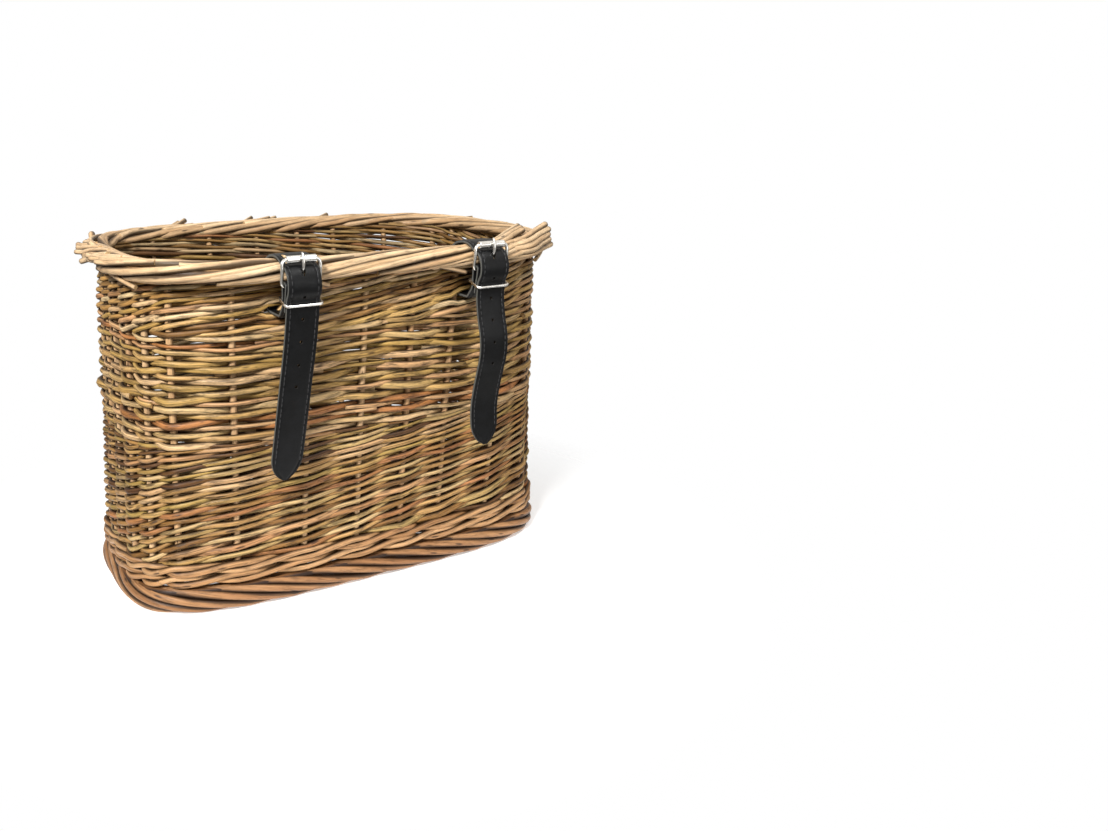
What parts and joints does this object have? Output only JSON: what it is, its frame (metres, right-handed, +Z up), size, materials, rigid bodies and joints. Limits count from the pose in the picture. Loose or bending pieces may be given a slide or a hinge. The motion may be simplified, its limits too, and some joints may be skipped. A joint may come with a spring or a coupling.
{
  "type": "handlebar basket",
  "caption": "Woven willow bicycle basket, oblong and open at the top, with buckled black leather straps through the front wall that hang it from a handlebar.",
  "frame": {"origin": "under the middle of the object's box, on the surface that the foot border stands on", "axes": "+X along the front of the basket, straps on the -Y side, +Z up"},
  "size_m": [0.345, 0.2402, 0.247],
  "materials": {
    "buff_willow": "satin",
    "stake_willow": "satin",
    "green_willow": "satin",
    "brown_willow": "satin",
    "leather": "satin",
    "nickel": "polished"
  },
  "bodies": {
    "basket": {"foot_border": "buff_willow", "upsett_wale": "buff_willow", "lower_siding": "green_willow", "middle_siding": "brown_willow", "upper_siding": "green_willow", "top_border": "buff_willow", "base_weave": "green_willow", "base_stick_1": "stake_willow", "base_stick_2": "stake_willow", "base_stick_3": "stake_willow", "base_stick_4": "stake_willow", "base_stick_5": "stake_willow", "base_long_stick_1": "stake_willow", "base_long_stick_2": "stake_willow", "base_long_stick_3": "stake_willow", "stake_01": "stake_willow", "stake_02": "stake_willow", "stake_03": "stake_willow", "stake_04": "stake_willow", "stake_05": "stake_willow", "stake_06": "stake_willow", "stake_07": "stake_willow", "stake_08": "stake_willow", "stake_09": "stake_willow", "stake_10": "stake_willow", "stake_11": "stake_willow", "stake_12": "stake_willow", "stake_13": "stake_willow", "stake_14": "stake_willow", "stake_15": "stake_willow", "stake_16": "stake_willow", "stake_17": "stake_willow", "stake_18": "stake_willow", "stake_19": "stake_willow", "stake_20": "stake_willow", "stake_21": "stake_willow", "stake_22": "stake_willow", "stake_23": "stake_willow", "stake_24": "stake_willow", "stake_25": "stake_willow", "stake_26": "stake_willow", "stake_27": "stake_willow", "stake_28": "stake_willow", "left_strap_loop": "leather", "right_strap_loop": "leather"},
    "left_tail": {"left_strap_tail": "leather"},
    "left_buckle": {"left_buckle_frame": "nickel"},
    "left_roller": {"left_buckle_roller": "nickel"},
    "left_prong": {"left_buckle_prong": "nickel"},
    "left_keeper": {"left_keeper": "nickel"},
    "right_tail": {"right_strap_tail": "leather"},
    "right_buckle": {"right_buckle_frame": "nickel"},
    "right_roller": {"right_buckle_roller": "nickel"},
    "right_prong": {"right_buckle_prong": "nickel"},
    "right_keeper": {"right_keeper": "nickel"}
  },
  "joints": [
    {"name": "left_tail_swing", "type": "hinge", "parent": "basket", "child": "left_tail", "pos_m": [-0.068, -0.11356, 0.2104], "axis": [-1, 0, 0], "range_deg": [0, 80]},
    {"name": "left_buckle_tilt", "type": "hinge", "parent": "basket", "child": "left_buckle", "pos_m": [-0.068, -0.11136, 0.227], "axis": [1, 0, 0], "range_deg": [0, 12]},
    {"name": "left_roller_spin", "type": "hinge", "parent": "left_buckle", "child": "left_roller", "pos_m": [-0.068, -0.11316, 0.2431], "axis": [1, 0, 0], "continuous": true},
    {"name": "left_prong_lift", "type": "hinge", "parent": "left_buckle", "child": "left_prong", "pos_m": [-0.068, -0.11136, 0.227], "axis": [1, 0, 0], "range_deg": [0, 30]},
    {"name": "left_keeper_slide", "type": "slide", "parent": "basket", "child": "left_keeper", "axis": [0, 0, 1], "range_m": [-0.003, 0.002]},
    {"name": "right_tail_swing", "type": "hinge", "parent": "basket", "child": "right_tail", "pos_m": [0.068, -0.11356, 0.2104], "axis": [-1, 0, 0], "range_deg": [0, 80]},
    {"name": "right_buckle_tilt", "type": "hinge", "parent": "basket", "child": "right_buckle", "pos_m": [0.068, -0.11136, 0.227], "axis": [1, 0, 0], "range_deg": [0, 12]},
    {"name": "right_roller_spin", "type": "hinge", "parent": "right_buckle", "child": "right_roller", "pos_m": [0.068, -0.11316, 0.2431], "axis": [1, 0, 0], "continuous": true},
    {"name": "right_prong_lift", "type": "hinge", "parent": "right_buckle", "child": "right_prong", "pos_m": [0.068, -0.11136, 0.227], "axis": [1, 0, 0], "range_deg": [0, 30]},
    {"name": "right_keeper_slide", "type": "slide", "parent": "basket", "child": "right_keeper", "axis": [0, 0, 1], "range_m": [-0.003, 0.002]}
  ]
}
